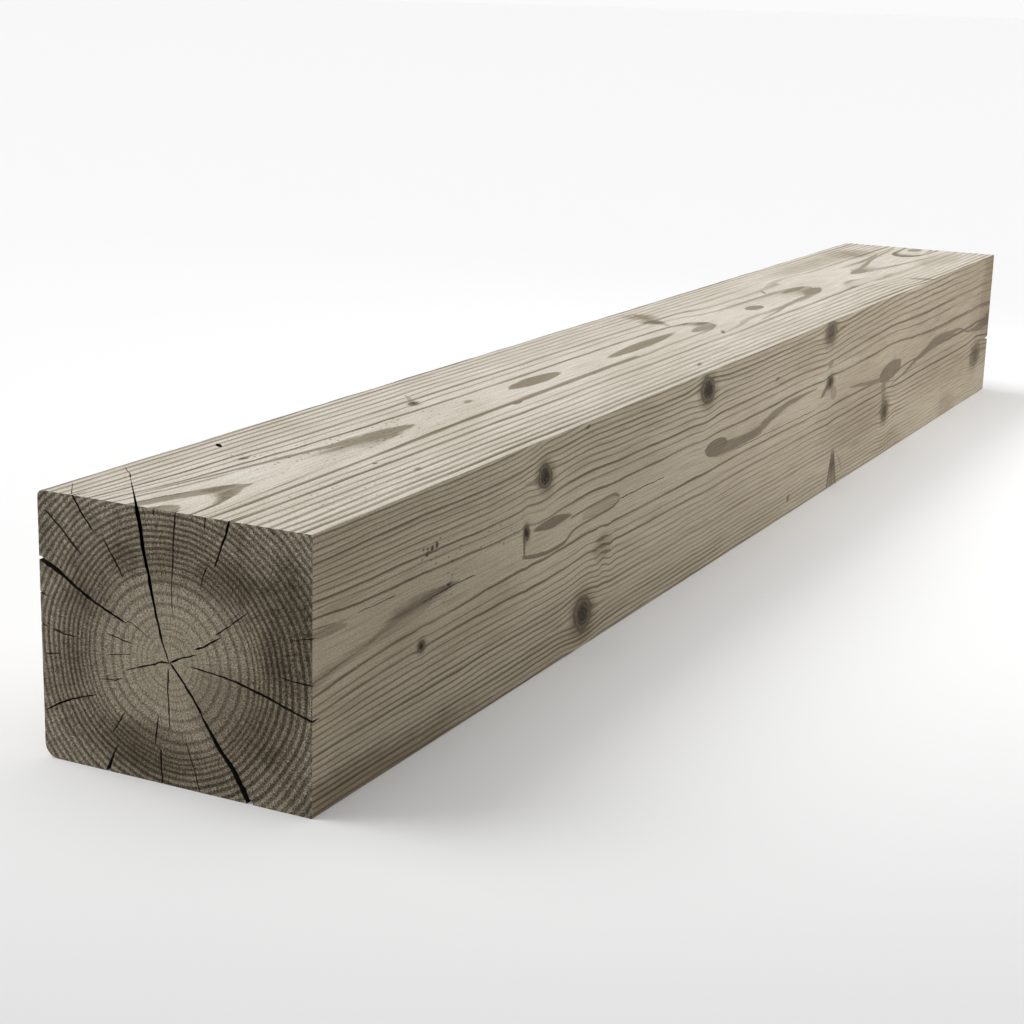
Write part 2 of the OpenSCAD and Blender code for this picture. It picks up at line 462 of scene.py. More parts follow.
def side_grain(side):
    shape = SIDES[side]
    material, tree, shader = new_finish(side + " grain")
    from_end, y, z = split(tree, timber_place(tree))
    across = z if side in UPRIGHT_SIDES else y
    flat = joined(tree, from_end, across, 0.0)
    uneven = centred_noise(tree, flat, EDGE_RATE, 3.0)

    # Branches push the fibres apart.
    fibre = across
    nearest = NO_KNOT
    knot_shares = []
    halo_shares = []
    for at, height_at, half_length, half_height, lean, dark in shape["knots"]:
        u, v = to_ellipse(tree, flat, at, height_at, half_length, half_height, lean)
        to_rim = calc(tree, "SQRT", squared_sum(tree, u, v))
        to_rim = times_plus(tree, uneven, KNOT_UNEVEN, to_rim)
        nearest = calc(tree, "MINIMUM", to_rim, nearest)
        knot_shares.append(ramp(tree, to_rim, *KNOT_EDGE, dark, 0.0))
        halo_shares.append(ramp(tree, to_rim, *HALO_EDGE, dark, 0.0))
        # A branch that the saw met lengthwise leaves the fibres straight.
        if half_height < 2 * half_length:
            u, v = to_ellipse(tree, flat, at, height_at, half_length, half_height, 0.0)
            spread = calc(tree, "SQRT", times_plus(tree, v, v, bell(tree, u, KNOT_FLOW)))
            shift = less(tree, calc(tree, "DIVIDE", calc(tree, "ABSOLUTE", v), spread), 1.0)
            shift = times(tree, times(tree, shift, v), half_height)
            fibre = calc(tree, "ADD", fibre, shift)

    # Ring age: lines along the edges, arrowheads down the middle.
    waver = centred_noise(tree, flat, WAVER_RATE, 3.0)
    fibre = times_plus(tree, waver, WAVER_SHIFT, fibre)
    if "drift" in shape:
        fibre = calc(tree, "ADD", fibre, curve_through(tree, from_end, shape["drift"]))
    off_middle = less(tree, fibre, shape["middle"])
    if "crowd" in shape:
        upper = calc(tree, "MAXIMUM", off_middle, 0.0)
        closer = curve_through(tree, from_end, shape["crowd"])
        off_middle = times_plus(tree, upper, closer, off_middle)
    bent = calc(tree, "SQRT", times_plus(tree, off_middle, off_middle, shape["bend"] ** 2))
    least_age = shape["age"] - shape["bend"] / shape["ring"]
    age = times_plus(tree, bent, 1 / shape["ring"], least_age)
    off_swing = less(tree, fibre, curve_through(tree, from_end, shape["swing"]))
    share = calc(tree, "DIVIDE", off_swing, curve_through(tree, from_end, shape["reach"]))
    felt = bell(tree, times(tree, share, share), 1.0)
    rise = curve_through(tree, from_end, shape["rise"])
    age = times_plus(tree, felt, rise, age)
    along_fibre = joined(tree, from_end, fibre, 0.0)
    ragged = centred_noise(tree, along_fibre, STRAND_RATE, 3.0, 0.6)
    age = times_plus(tree, ragged, RAGGED_SHIFT, age)
    grit = centred_noise(tree, flat, GRIT_RATE, 2.0, 0.75)
    age = times_plus(tree, grit, GRIT_SHIFT, age)
    for at, height_at, half_length, half_height in shape["ripples"]:
        u, v = to_ellipse(tree, flat, at, height_at, half_length, half_height, 0.0)
        there = times(tree, bell(tree, u, 1.0), bell(tree, v, 1.0))
        turn = vector(tree, "DOT_PRODUCT", flat, (2 * math.pi / RIPPLE_LENGTH, RIPPLE_SLANT, 0))
        wave = times(tree, there, calc(tree, "SINE", turn))
        age = times_plus(tree, wave, RIPPLE_RINGS, age)

    # Late wood darkens towards the end of each year and stops short at the next.
    season = calc(tree, "FRACT", age)
    year = add(tree, "ShaderNodeTexWhiteNoise", None, calc(tree, "FLOOR", age), noise_dimensions="1D")
    crowding = calc(tree, "DIVIDE", calc(tree, "ABSOLUTE", off_middle), bent)
    least_late = times(tree, bell(tree, off_middle, LEAST_LATE_REACH), shape["least_late"])
    share_late = times(tree, crowding, shape["line"] / shape["ring"])
    share_late = times(tree, share_late, ramp(tree, year, 0, 1, *YEAR_BREADTHS))
    share_late = calc(tree, "MAXIMUM", calc(tree, "MAXIMUM", share_late, least_late), LEAST_SHARE)
    late_from = less(tree, 1.0, share_late)
    into_late = calc(tree, "DIVIDE", less(tree, season, late_from), share_late)
    next_year = ramp(tree, into_late, *LATE_STOPS, 1.0, 0.0)
    late = times(tree, ramp(tree, into_late, *LATE_STARTS), next_year)
    late = times(tree, late, ramp(tree, year, 0, 1, *YEAR_DEPTHS))
    faint = noise(tree, along_fibre, FAINT_RATE, 3.0, 0.6)
    late = times(tree, late, ramp(tree, faint, *FAINT_STEP))
    worn = patches(tree, flat, uneven, shape["worn"])
    late = times(tree, late, less(tree, 1.0, worn))
    for at, height_at, half_length, half_height, lean, dark, round_ends in shape["islands"]:
        u, v = to_ellipse(tree, flat, at, height_at, half_length, half_height, lean)
        tip = calc(tree, "POWER", calc(tree, "ABSOLUTE", u), float(round_ends))
        to_edge = times_plus(tree, v, v, tip)
        to_edge = times_plus(tree, ragged, ISLAND_FRAY, to_edge)
        late = calc(tree, "MAXIMUM", late, ramp(tree, to_edge, *ISLAND_EDGE, dark, 0.0))
    for points, dark in shape["strokes"]:
        start, end = points[0][0], points[-1][0]
        line = curve_through(tree, from_end, [(at, height_at) for at, height_at, _ in points])
        breadth = curve_through(tree, from_end, [(at, broad) for at, _, broad in points])
        off_stroke = calc(tree, "DIVIDE", less(tree, across, line), breadth)
        off_stroke = times_plus(tree, ragged, STROKE_FRAY, off_stroke)
        off_stroke = calc(tree, "ABSOLUTE", off_stroke)
        drawn = ramp(tree, off_stroke, *STROKE_EDGE, dark, 0.0)
        begun = ramp(tree, from_end, start - BEYOND_END, start + WITHIN_END)
        ended = ramp(tree, from_end, end - WITHIN_END, end + BEYOND_END, 1.0, 0.0)
        drawn = times(tree, times(tree, drawn, begun), ended)
        late = calc(tree, "MAXIMUM", late, drawn)

    # Painted shade: the upright sides take the darker, warmer copy of the wood.
    if side in UPRIGHT_SIDES:
        colour = mixed(tree, late, SHADED_SIDE_EARLY_WOOD, SHADED_SIDE_LATE_WOOD)
    else:
        colour = mixed(tree, late, TOP_EARLY_WOOD, TOP_LATE_WOOD)
    streaks = ramp(tree, noise(tree, along_fibre, STREAK_RATE, 4.0, 0.65), *STREAK_STEP)
    weather = ramp(tree, noise(tree, flat, WEATHER_RATE, 3.0), *WEATHER_STEP)
    # Stains darken the wood in patches, and on the front one patch is painted shade.
    stains_and_shade = patches(tree, flat, uneven, shape["stains_and_shade"])
    gritty = ramp(tree, grit, *GRIT_STEP)
    halo = times(tree, largest(tree, halo_shares), HALO_SHARE)
    for share, tint in ((streaks, STREAK_TINT), (weather, WEATHER_TINT), (stains_and_shade, STAIN_AND_SHADE_TINT),
                        (gritty, GRIT_TINT), (halo, HALO_TINT)):
        colour = mixed(tree, share, colour, tint, "MULTIPLY")

    # Knots: brown branch wood with its own rings, a darker rim and a darker core.
    branch = centred_noise(tree, flat, BRANCH_RATE, 3.0, 0.6)
    turn = times_plus(tree, nearest, BRANCH_TURN, times(tree, branch, BRANCH_WAVER))
    rings = calc(tree, "SINE", turn)
    core = times_plus(tree, rings, RINGS_IN_CORE, ramp(tree, nearest, *CORE_STEP))
    core = times_plus(tree, calc(tree, "ADD", branch, grit), GRIT_IN_CORE, core)
    rim = bell(tree, less(tree, nearest, 1.0), DARK_RIM_BREADTH)
    core = times_plus(tree, rim, RIM_IN_CORE, core)
    knot_colour = mixed(tree, calc(tree, "MINIMUM", core, 1.0), KNOT_WOOD, KNOT_CORE)
    colour = mixed(tree, largest(tree, knot_shares), colour, knot_colour)

    # Specks of dirt and torn fibre.
    speck_place = vector(tree, "MULTIPLY", flat, SPECK_RATE)
    cells = add(tree, "ShaderNodeTexVoronoi", speck_place, None, 1.0).node
    chosen = ramp(tree, split(tree, cells.outputs["Color"])[0], *SPECK_CHANCE)
    speck = times(tree, ramp(tree, cells.outputs["Distance"], *SPECK_STEP), chosen)
    speck = times(tree, speck, patches(tree, flat, uneven, shape["specked"]))
    colour = mixed(tree, speck, colour, SPECK_TINT, "MULTIPLY")

    tree.links.new(colour, shader.inputs["Base Color"])
    roughness = ramp(tree, late, 0, 1, EARLY_ROUGHNESS, LATE_ROUGHNESS)
    tree.links.new(roughness, shader.inputs["Roughness"])
    sawn = noise(tree, flat, SAW_RATE, 3.0, 0.65)
    bumps = add(tree, "ShaderNodeBump", SAW_STRENGTH, SAW_DEPTH, None, sawn)
    tree.links.new(bumps, shader.inputs["Normal"])
    return material


# Sawn ends
# The rings show whole, wide and pale around the pith and narrow and dark towards the bark, with
# fine rays across them and the fuzz of a coarse saw.

PITH_Y, PITH_Z = 1.3, 63.8
# Dark line of each ring as (distance from the pith, ring)
RINGS = [
    (0, 0), (9.5, 1), (13.8, 2), (17, 3), (19.7, 4), (24, 5), (29.5, 6), (35, 7), (40.7, 8),
    (45.6, 9), (57, 13.2), (110, 28.6),
]
# Beyond this distance the rings widen towards the lower front arris and narrow away from it.
OUTER_R, OUTER_RING, OUTER_LEAN = 57.0, 3.45, 0.13
NARROWING = (0, 0.6 * OUTER_LEAN / OUTER_RING, 0.8 * OUTER_LEAN / OUTER_RING)
# Share of the length that counts in the grain of the ends, which sets them a little apart
LENGTH_SHARE = 0.0005
# Fuzz of the saw: waves per millimetre, how far it moves the rings, strength and depth
FUZZ_RATE, FUZZ_SHIFT, FUZZ_STRENGTH, FUZZ_DEPTH = 1.25, 0.36, 0.5, 0.0005
# Waves of the rays' noise over the direction from the pith, and per millimetre outwards
RAYS_ROUND, RAYS_OUT = (46, 46, 46), 0.12
# Waves per millimetre of the rings' waver, the smudges and the pits, and how far the rings waver
RING_RATE, SMUDGE_RATE, PIT_RATE, RING_WAVER = 0.024, 0.03, 0.5, 0.08
# Smooth steps as (from, to, value before, value after) by distance from the pith, then by noise
BROADENING, CLEARING, HEART = (36.0, 60.0, 0.0, -0.6), (10.0, 66.0, 0.42, 0.9), (12.0, 50.0, 1.0, 0.0)
FUZZ_OUT, SMUDGES_OUT = (5.0, 60.0, 0.7, 1.0), (25.0, 60.0, 0.0, 0.45)
RAY_STEP, FUZZ_STEP = (0.35, 0.75, 0.0, 0.75), (-0.16, 0.16)
SMUDGE_STEP, PIT_STEP = (0.42, 0.7), (0.55, 0.66)
# Share of the turn of a ring over which late wood sets in, and how much years differ
LATE_TURN, END_YEARS = (0.0, 1.1), (0.8, 1.0)
# Where the rings crowd together, how far about, and how much darker they are there
CROWDED_R, CROWDED_REACH, CROWDED_SHARE = 56.0, 18.0, 0.5
END_ROUGHNESS = 0.92
# Darker patches as (across, up, half width, half height, darkness)
END_DARK_PATCHES = [
    (-68, 86, 16, 40, 0.7), (-32, 108, 24, 10, 0.6), (27, 112, 9, 10, 0.5), (60, 22, 12, 8, 0.35),
    (16, 18, 34, 14, 0.6), (56, 62, 14, 14, 0.1), (-34, 46, 24, 22, 0.55), (-60, 44, 20, 26, 0.55),
    (0, 112, 16, 10, 0.4),
]
END_EARLY_WOOD, END_LATE_WOOD = srgb(210, 200, 179), srgb(116, 107, 92)
END_HEART_WOOD = srgb(196, 186, 164)
CROWDED_TINT, RAY_TINT, FUZZ_TINT = srgb(200, 194, 184), srgb(178, 171, 156), srgb(124, 119, 111)
SMUDGE_TINT, DARK_PATCH_TINT, PIT_TINT = srgb(150, 143, 131), srgb(174, 169, 160), srgb(128, 121, 110)


def end_grain():
    material, tree, shader = new_finish("sawn end grain")
    place = timber_place(tree)
    on_end = vector(tree, "MULTIPLY", place, (LENGTH_SHARE, 1, 1))
    on_end = vector(tree, "SUBTRACT", on_end, (0, PITH_Y, PITH_Z))
    from_pith = vector(tree, "MULTIPLY", on_end, (0, 1, 1))
    radius = vector(tree, "LENGTH", from_pith)
    outward = vector(tree, "NORMALIZE", from_pith)
    waver = centred_noise(tree, on_end, RING_RATE)
    ring_radius = times_plus(tree, waver, times(tree, radius, RING_WAVER), radius)
    age = curve_through(tree, ring_radius, RINGS, RINGS[-1][0])
    outer = calc(tree, "MAXIMUM", less(tree, ring_radius, OUTER_R), 0.0)
    narrowing = vector(tree, "DOT_PRODUCT", outward, NARROWING)
    age = times_plus(tree, outer, narrowing, age)
    fuzz = centred_noise(tree, place, FUZZ_RATE, 2.0, 0.8)
    age = times_plus(tree, fuzz, FUZZ_SHIFT, age)

    # Narrow faint late wood around the pith, as broad as the early wood towards the bark.
    turn = calc(tree, "COSINE", times(tree, age, 2 * math.pi))
    start = ramp(tree, radius, *BROADENING)
    late = ramp(tree, less(tree, turn, start), *LATE_TURN)
    year = add(tree, "ShaderNodeTexWhiteNoise", None, calc(tree, "ROUND", age), noise_dimensions="1D")
    clear = times(tree, ramp(tree, radius, *CLEARING), ramp(tree, year, 0, 1, *END_YEARS))
    late = times(tree, late, clear)
    heart = ramp(tree, radius, *HEART)
    colour = mixed(tree, heart, END_EARLY_WOOD, END_HEART_WOOD)
    colour = mixed(tree, late, colour, END_LATE_WOOD)
    crowded_rings = bell(tree, less(tree, radius, CROWDED_R), CROWDED_REACH)
    crowded_rings = times(tree, crowded_rings, CROWDED_SHARE)

    # Rays, saw fuzz, dark smudges, darker patches and small pits.
    along_ray = joined(tree, times(tree, radius, RAYS_OUT), 0.0, 0.0)
    rays = noise(tree, vector(tree, "MULTIPLY_ADD", outward, RAYS_ROUND, along_ray), 1.0, 3.0, 0.65)
    rays = ramp(tree, rays, *RAY_STEP)
    fuzzy = times(tree, ramp(tree, fuzz, *FUZZ_STEP), ramp(tree, radius, *FUZZ_OUT))
    smudged = ramp(tree, noise(tree, on_end, SMUDGE_RATE, 3.0, 0.6), *SMUDGE_STEP)
    smudged = times(tree, smudged, ramp(tree, radius, *SMUDGES_OUT))
    _, y, z = split(tree, place)
    flat = joined(tree, y, z, 0.0)
    uneven = centred_noise(tree, flat, EDGE_RATE, 3.0)
    dark_patches = patches(tree, flat, uneven, END_DARK_PATCHES)
    pitted = ramp(tree, noise(tree, place, PIT_RATE, 2.0, 0.6), *PIT_STEP)
    pitted = times(tree, pitted, patch(tree, flat, uneven, *END_DARK_PATCHES[0]))
    for share, tint in ((crowded_rings, CROWDED_TINT), (rays, RAY_TINT), (fuzzy, FUZZ_TINT),
                        (smudged, SMUDGE_TINT), (dark_patches, DARK_PATCH_TINT), (pitted, PIT_TINT)):
        colour = mixed(tree, share, colour, tint, "MULTIPLY")
    tree.links.new(colour, shader.inputs["Base Color"])
    shader.inputs["Roughness"].default_value = END_ROUGHNESS
    bumps = add(tree, "ShaderNodeBump", FUZZ_STRENGTH, FUZZ_DEPTH, None, fuzz)
    tree.links.new(bumps, shader.inputs["Normal"])
    return material


# Walls of the checks
# Torn wood inside the splits, near black: partly dark with the treatment and with dirt, partly painted
# shade of the deep narrow splits.

TORN_RATE, TORN_STEP, TORN_ROUGHNESS = (0.05, 0.6, 0.6), (0.3, 0.75), 0.95
# Both colours of the torn wood hold painted shade.
TORN_DARK_AND_SHADE, TORN_PALE_AND_SHADE = srgb(20, 17, 13), srgb(44, 38, 30)


def check_walls():
    material, tree, shader = new_finish("check walls")
    torn = noise(tree, timber_place(tree), TORN_RATE, 3.0, 0.6)
    colour = mixed(tree, ramp(tree, torn, *TORN_STEP), TORN_DARK_AND_SHADE, TORN_PALE_AND_SHADE)
    tree.links.new(colour, shader.inputs["Base Color"])
    shader.inputs["Roughness"].default_value = TORN_ROUGHNESS
    return material


# Sawn block
# A grid crowded towards its arrises, with the two front arrises left sharp, the upper back one
# eased and the lower back one rounded where the log's own edge shows.

FRONT_ARRIS_R, BACK_ARRIS_R, WANE_R = 0.55, 3.5, 8.0
ROWS = {"Rows along": 260, "Rows across": 56, "Rows up": 50}
# How far the rows crowd towards the ends of the length, and towards the arrises
LENGTH_CROWDING, ARRIS_CROWDING = 0.3, 0.84
# Waves per millimetre of the wear and the chatter, how much the wear changes the radius of an
# arris, as a smooth step, and how far apart the arrises lie in the wear
WEAR_RATE, WEAR_STEP, CHATTER_RATE = 0.02, (0.3, 0.75, 0.8, 1.25), (0.012, 0.05, 0.05)
FRONT_APART, UPPER_APART = 300.0, 500.0
# Depth of the chatter and of the knot rims, and breadth of the rims in half sizes
CHATTER, RIM_SINK, RIM_BREADTH = 0.25, 0.45, 0.35
# Least share of a normal by which a face or a point belongs to a side, and a distance taken as none
FACES_SIDE, HARDLY = 0.7, 0.001


def crowded(tree, value, span, crowding):
    """Moves grid lines from the middle of a span towards its two ends, which stay."""
    share = calc(tree, "DIVIDE", value, span / 2)
    wave = calc(tree, "SINE", times(tree, share, math.pi))
    share = times_plus(tree, wave, crowding / math.pi, share)
    return times(tree, share, span / 2)


def past_arris(tree, value, span, radius):
    """How far a place lies beyond the centre of the rounding of its arris."""
    straight = less(tree, span / 2, radius)
    past = less(tree, calc(tree, "ABSOLUTE", value), straight)
    return calc(tree, "MAXIMUM", past, 0.0)


def pulled_in(tree, value, past, pull):
    shift = times(tree, times(tree, past, pull), calc(tree, "SIGN", value))
    return less(tree, value, shift)


def sawn_block(finishes):
    tree = bpy.data.node_groups.new("sawn timber", "GeometryNodeTree")
    for name in ROWS:
        tree.interface.new_socket(name=name, in_out="INPUT", socket_type="NodeSocketInt")
    for name in ("Front arris", "Back arris", "Wane"):
        tree.interface.new_socket(name=name, in_out="INPUT", socket_type="NodeSocketFloat")
    tree.interface.new_socket(name="Timber", in_out="OUTPUT", socket_type="NodeSocketGeometry")
    given = tree.nodes.new("NodeGroupInput").outputs
    rows_along, rows_across, rows_up, front_arris, back_arris, wane = given[:6]
    size = (length, width, height)
    block = add(tree, "GeometryNodeMeshCube", size, rows_along, rows_across, rows_up)

    x, y, z = split(tree, add(tree, "GeometryNodeInputPosition"))
    x = crowded(tree, x, length, LENGTH_CROWDING)
    y = crowded(tree, y, width, ARRIS_CROWDING)
    z = crowded(tree, z, height, ARRIS_CROWDING)

    # Each arris keeps its own radius, worn unevenly along the length.
    in_front = calc(tree, "LESS_THAN", y, 0.0)
    above = calc(tree, "GREATER_THAN", z, 0.0)
    back_r = add(tree, "ShaderNodeMix", above, None, wane, back_arris)
    radius = add(tree, "ShaderNodeMix", in_front, None, back_r, front_arris)
    along = joined(tree, x, times(tree, in_front, FRONT_APART), times(tree, above, UPPER_APART))
    wear = ramp(tree, noise(tree, along, WEAR_RATE, 3.0, 0.6), *WEAR_STEP)
    radius = times(tree, radius, wear)
    past_y = past_arris(tree, y, width, radius)
    past_z = past_arris(tree, z, height, radius)
    reach = calc(tree, "SQRT", squared_sum(tree, past_y, past_z))
    pull = calc(tree, "MAXIMUM", past_y, past_z)
    pull = calc(tree, "DIVIDE", pull, calc(tree, "MAXIMUM", reach, HARDLY))
    pull = less(tree, 1.0, pull)
    pull = times(tree, pull, calc(tree, "GREATER_THAN", reach, HARDLY))
    y = pulled_in(tree, y, past_y, pull)
    z = pulled_in(tree, z, past_z, pull)
    z = calc(tree, "ADD", z, height / 2)
    block = add(tree, "GeometryNodeSetPosition", block, None, joined(tree, x, y, z))

    # The saw's chatter and the sunken rims of the knots, all cut into the block.
    place = add(tree, "GeometryNodeInputPosition")
    normal = add(tree, "GeometryNodeInputNormal")
    sink = times(tree, noise(tree, place, CHATTER_RATE, 3.0), CHATTER)
    from_end, y, z = split(tree, vector(tree, "ADD", place, (length / 2, 0, 0)))
    on_side = {}
    for side, shape in SIDES.items():
        flat = joined(tree, from_end, z if side in UPRIGHT_SIDES else y, 0.0)
        turned = vector(tree, "DOT_PRODUCT", normal, shape["facing"])
        on_side[side] = calc(tree, "GREATER_THAN", turned, FACES_SIDE)
        for at, height_at, half_length, half_height, lean, dark in shape["knots"]:
            u, v = to_ellipse(tree, flat, at, height_at, half_length, half_height, lean)
            to_rim = calc(tree, "SQRT", squared_sum(tree, u, v))
            rim = bell(tree, less(tree, to_rim, 1.0), RIM_BREADTH)
            rim = times(tree, rim, on_side[side])
            sink = times_plus(tree, rim, RIM_SINK * dark, sink)
    sink = times(tree, sink, -1.0)
    inward = add(tree, "ShaderNodeVectorMath", normal, None, None, sink, operation="SCALE")
    block = add(tree, "GeometryNodeSetPosition", block, None, None, inward)
    block = add(tree, "GeometryNodeTransform", block, None, None, (MM, MM, MM))
    block = add(tree, "GeometryNodeRealizeInstances", block)
    block = add(tree, "GeometryNodeSetMaterial", block, None, finishes["end"])
    for side, there in on_side.items():
        block = add(tree, "GeometryNodeSetMaterial", block, there, finishes[side])
    tree.links.new(block, tree.nodes.new("NodeGroupOutput").inputs[0])
    return tree


finishes = {side: side_grain(side) for side in SIDES}
finishes["end"] = end_grain()
timber = bpy.data.objects.new("timber_sawn", bpy.data.meshes.new("timber_sawn"))
bpy.context.scene.collection.objects.link(timber)
block_tree = sawn_block(finishes)
sawing = timber.modifiers.new("sawn block", "NODES")
sawing.node_group = block_tree
block_inputs = dict(ROWS)
block_inputs.update({"Front arris": FRONT_ARRIS_R, "Back arris": BACK_ARRIS_R, "Wane": WANE_R})
for item in block_tree.interface.items_tree:
    if item.in_out == "INPUT":
        sawing[item.identifier] = block_inputs[item.name]


def settle(piece, modifier):
    """Turns what a modifier makes of a piece into its plain mesh."""
    bpy.context.view_layer.update()
    depsgraph = bpy.context.evaluated_depsgraph_get()
    made = bpy.data.meshes.new_from_object(piece.evaluated_get(depsgraph))
    piece.modifiers.remove(modifier)
    made.name = piece.name
    piece.data = made


settle(timber, sawing)

# Drying checks
# Splits that run in from the ends as the wood shrank, widest at the arris and closing inwards,
# and a few short ones along the sides. Each is cut with its own jagged V-shaped blade.
# End checks are ((from the back, below the top) points, widths from first to last, depth).

NEAR_CHECKS = [
    ([(78.7, 76.2), (75, 66.7), (71.7, 53.3), (68.7, 38.3), (65.8, 25), (63.3, 11.7), (61.2, -1)],
     (0.9, 1.6, 2.0, 2.7), 58),
    ([(-1, 34), (8, 38.2), (14.5, 41.7), (27, 49), (40, 55.5), (52.5, 60.3)], (2.6, 2.0, 1.0), 70),
    ([(52, 60.8), (54.7, 58.6), (60, 62), (67, 66)], (0.7, 0.5), 6),
    ([(78.7, 76.2), (84, 82.5), (91, 91), (97, 100)], (1.2, 1.6), 30),
    ([(96.6, 99.4), (101.7, 107.5), (108, 116), (115, 124.2), (119, 131), (126, 142)],
     (1.4, 2.9, 3.6), 90),
    ([(90.8, 75.8), (103, 77), (117, 79), (128, 81.5), (136, 83.5), (147, 87), (162, 91.8)],
     (0.8, 1.4, 1.5), 9),
    ([(78.7, 76.2), (72.5, 76.7), (70.3, 78.2), (62, 81), (51.5, 85)], (1.1, 0.6), 16),
    ([(50, 89.3), (44.5, 91.5), (42.5, 90.8), (35, 92)], (0.8, 0.5), 8),
    ([(78.7, 76.2), (86, 72.3), (94, 69.3)], (1.1, 0.7), 14),
    ([(93.3, 67), (99, 64.5), (109, 58)], (1.2, 0.9), 10),
    ([(105, 57.5), (113, 52), (124, 43.5)], (0.9, 0.7), 7),
    ([(126.5, 46), (132, 42.5)], (0.6, 0.5), 5),
    ([(83.5, -1), (82, 10), (81.2, 23.3), (80, 38.3), (80.5, 51.7)], (1.0, 0.8, 0.4), 18),
    ([(114.5, -1), (112, 7), (108.5, 16), (105.3, 24.2)], (1.5, 0.8), 24),
    ([(101, 24.5), (98.5, 30), (97, 35.5)], (0.8, 0.6), 8),
    ([(70.7, -1), (70.5, 4)], (1.0, 0.6), 9),
    ([(100.5, -1), (99.7, 7)], (1.0, 0.6), 9),
    ([(21.3, -1), (27, 8), (34, 16.8)], (1.5, 1.0), 16),
    ([(40, 19), (46, 28), (52, 38)], (1.1, 0.8), 9),
    ([(4.5, 9.7), (12, 16), (18, 21.5), (27, 29.8)], (1.1, 1.1, 0.9), 12),
    ([(-1, 52.5), (4.5, 54)], (1.2, 0.9), 5),
    ([(-1, 69), (4, 70)], (1.2, 0.9), 5),
    ([(7.5, 70.8), (14, 72.3), (22, 72.7)], (1.1, 0.8), 9),
    ([(2, 85), (11.7, 82.5)], (0.9, 0.7), 7),
    ([(40.5, 67.5), (56.5, 70.5)], (0.9, 0.7), 7),
    ([(41, 78.5), (56, 75.5)], (0.7, 0.5), 5),
    ([(1, 115), (8, 110.5), (15, 107), (33.5, 100.5)], (0.9, 1.2, 0.6), 8),
    ([(50.5, 107), (43, 119.5)], (0.9, 0.7), 7),
    ([(46, 125), (41, 136), (39, 142)], (0.7, 1.6, 3.2), 14),
    ([(71, 104.5), (69, 120.5)], (1.0, 0.9), 9),
    ([(70, 121.3), (72, 122.5), (72.5, 130), (72.8, 142)], (0.9, 1.0, 1.4), 14),
    ([(77.3, 79), (77, 93), (78, 111)], (1.0, 0.7), 10),
    ([(86.5, 113), (91, 125), (96, 142)], (0.6, 0.8), 12),
    ([(142, 72), (150, 73), (162, 73)], (0.9, 1.0), 4),
    ([(146, 53.5), (162, 49.6)], (0.5, 0.7), 4),
]
# How far the first of them drifts towards the back on the top, over its depth
TOP_CHECK_DRIFT = 50
FAR_CHECKS = [
    ([(130, 80), (150, 84.2), (162, 85.5)], (0.8, 4.0), 16),
    ([(81, 72), (86, 50), (90, 28), (96.5, -2)], (0.6, 2.1), 45),
    ([(74, 76.5), (56, 78), (32, 80.5), (-2, 82.2)], (0.6, 1.9), 50),
    ([(82, 79), (90, 96), (96, 112), (99, 126)], (0.7, 0.9), 14),
    ([(72, 82), (60, 97), (49, 112), (36, 126), (22, 142)], (0.6, 1.3), 26),
    ([(72, 68), (58, 52), (47, 41)], (0.7, 0.6), 8),
    ([(50, 30), (41, 16), (32, -2)], (0.6, 1.0), 14),
    ([(92, 72), (108, 63), (122, 55)], (0.8, 0.6), 8),
    ([(130, 49), (140, 44), (149, 39.5)], (0.6, 0.6), 8),
    ([(-2, 40), (10, 45), (24, 52)], (1.0, 0.6), 14),
    ([(116, 104), (132, 114), (146, 124)], (0.6, 0.6), 8),
    ([(66, -2), (67, 12), (69, 30)], (0.9, 0.5), 12),
]
# Checks and scars on a side: the side, (from the near end, across) points, widths, depth
SIDE_CHECKS = [
    ("front", [(354, 82), (390, 82.4), (426, 81.6)], (0.9, 0.6), 3),
    ("front", [(103, 80.6), (128, 81.2), (162, 80.7)], (0.7, 0.7), 3),
    ("front", [(40, 91.9), (58, 91.5), (77, 91.7)], (0.5, 0.6), 3),
    ("front", [(560, 75.2), (640, 74.6), (735, 73.2)], (0.6, 0.6), 2),
    ("top", [(127, 59.5), (130, 63), (133, 66.5)], (3.6, 3.2), 7),
    ("top", [(44, 56.5), (51, 62.3), (56, 67.8), (62, 74.5)], (0.9, 0.6), 3),
    ("top", [(1, 59.5), (9.5, 66), (20, 74)], (0.8, 0.5), 2.5),
    ("back", [(240, 62), (300, 63), (372, 61.5)], (0.6, 0.9), 4),
    ("back", [(700, 74), (790, 73), (905, 75)], (0.9, 0.6), 4),
    ("underside", [(420, -12), (520, -10), (640, -13)], (1.0, 0.7), 5),
]
# Length of a blade's steps and their least number, and how far it stands out of the wood
BLADE_STEP, LEAST_STEPS, BLADE_CLEAR = 2.5, 3, 1.0
# How far a blade sways at each step, how much of the last sway stays, the share of the sway that
# even a hairline has, and how narrow the tips are
SWAY, SWAY_KEPT, HAIRLINE_SWAY, TIP_SHARE = 0.22, 0.6, 0.5, 0.35
# By what shares its depth and its width differ from step to step
DEPTH_SPREAD, WIDTH_SPREAD = (0.85, 1.0), (0.75, 1.2)
CHANCE_SEED, ROUNDING = 7, 1e-9
SHARP_ANGLE = math.radians(35)


